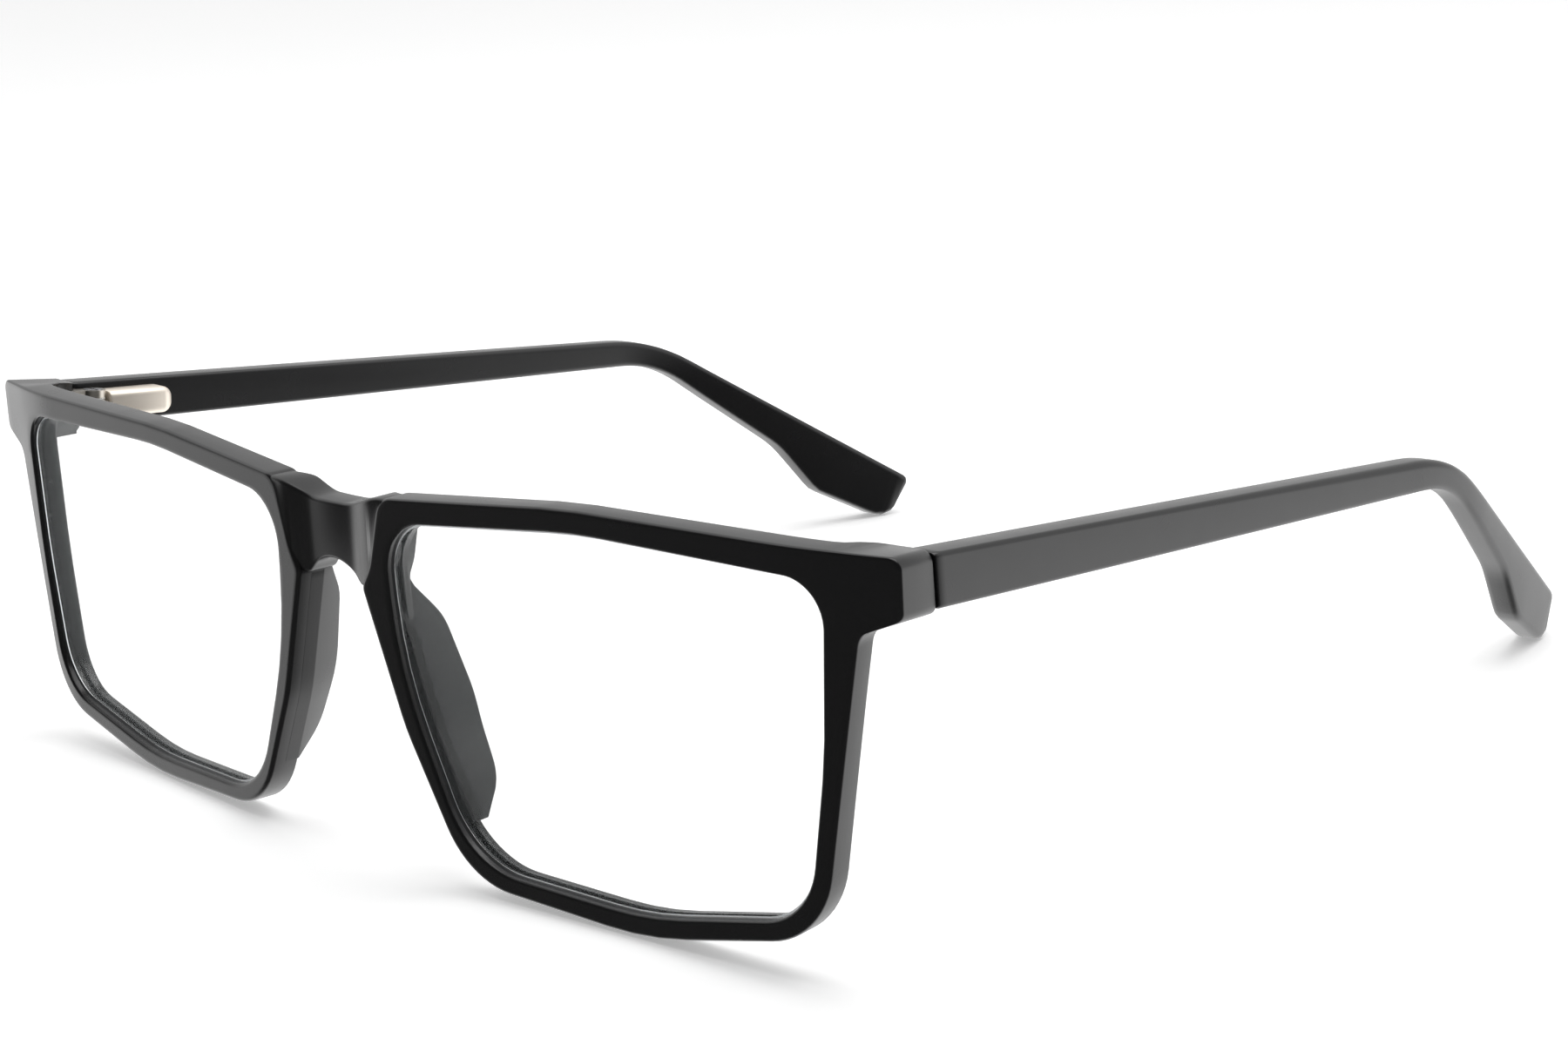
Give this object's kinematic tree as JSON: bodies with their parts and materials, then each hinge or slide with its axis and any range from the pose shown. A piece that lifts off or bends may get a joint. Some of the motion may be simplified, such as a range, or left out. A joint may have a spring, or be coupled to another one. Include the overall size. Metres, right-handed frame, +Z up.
{
  "type": "eyeglasses",
  "caption": "Full-rim rectangular acetate eyeglasses with solid nose pads, clear lenses and folding temples on spring hinges.",
  "frame": {"origin": "centre of the bounding box at the ground that the rims and the temple tips stand on", "axes": "+X to the wearer's left, +Y from the front to the temple tips, +Z up"},
  "size_m": [0.142, 0.1387, 0.0407],
  "materials": {
    "acetate": "semi-gloss black acetate",
    "lens": "clear coated lens",
    "hinge_metal": "pale nickel-silver",
    "housing_metal": "satin champagne plating",
    "screw_metal": "bright steel",
    "washer": "plain nylon",
    "spring_wire": "spring steel",
    "core_wire": "plain nickel-silver wire"
  },
  "bodies": {
    "front": {"front": "acetate", "lens_left": "lens", "lens_right": "lens", "nose_pad_left": "acetate", "nose_pad_right": "acetate", "front_hinge_left": "hinge_metal", "front_hinge_right": "hinge_metal", "hinge_washers_left": "washer", "hinge_washers_right": "washer", "hinge_screw_left": "screw_metal", "hinge_screw_right": "screw_metal"},
    "slider_left": {"hinge_slider_left": "hinge_metal", "spring_left": "spring_wire", "spring_retainer_left": "hinge_metal"},
    "arm_left": {"temple_left": "acetate", "spring_housing_left": "housing_metal", "core_wire_left": "core_wire"},
    "slider_right": {"hinge_slider_right": "hinge_metal", "spring_right": "spring_wire", "spring_retainer_right": "hinge_metal"},
    "arm_right": {"temple_right": "acetate", "spring_housing_right": "housing_metal", "core_wire_right": "core_wire"}
  },
  "joints": [
    {"name": "fold_left", "type": "hinge", "parent": "front", "child": "slider_left", "pos_m": [0.0643, -0.05435, 0.0369], "axis": [-0.0053, 0.094, 0.9956], "range_deg": [0, 77]},
    {"name": "spring_pull_left", "type": "slide", "parent": "slider_left", "child": "arm_left", "axis": [-0.0556, 0.994, -0.0941], "range_m": [0, 0.0006], "stiffness_N_per_m": 3000, "springref_m": -0.001, "deforming": ["spring_left"]},
    {"name": "fold_right", "type": "hinge", "parent": "front", "child": "slider_right", "pos_m": [-0.0643, -0.05435, 0.0369], "axis": [-0.0053, -0.094, -0.9956], "range_deg": [0, 85]},
    {"name": "spring_pull_right", "type": "slide", "parent": "slider_right", "child": "arm_right", "axis": [0.0556, 0.994, -0.0941], "range_m": [0, 0.0006], "stiffness_N_per_m": 3000, "springref_m": -0.001, "deforming": ["spring_right"]}
  ]
}
